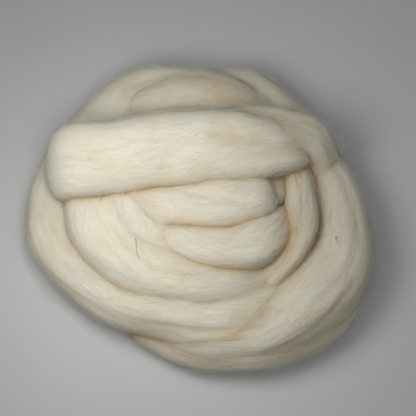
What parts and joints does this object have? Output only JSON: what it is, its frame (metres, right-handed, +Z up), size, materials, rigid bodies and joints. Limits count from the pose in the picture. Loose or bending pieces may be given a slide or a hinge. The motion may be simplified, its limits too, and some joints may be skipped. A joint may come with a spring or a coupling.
{
  "type": "coiled nest of combed wool roving",
  "caption": "Loose nest of thick combed wool roving: an outer coil on the surface, smaller coils in the middle and one broad lay across the top.",
  "frame": {"origin": "middle of the box's base, on the surface that the nest lies on", "axes": "+Z up, +X along the cross lay towards its tucked right end, +Y towards the back arch"},
  "size_m": [0.2446, 0.2266, 0.0771],
  "materials": {
    "wool": "undyed cream wool, soft and matt with a faint sheen along the fibres"
  },
  "bodies": {
    "root": {"roving_nest": "wool"}
  },
  "joints": []
}
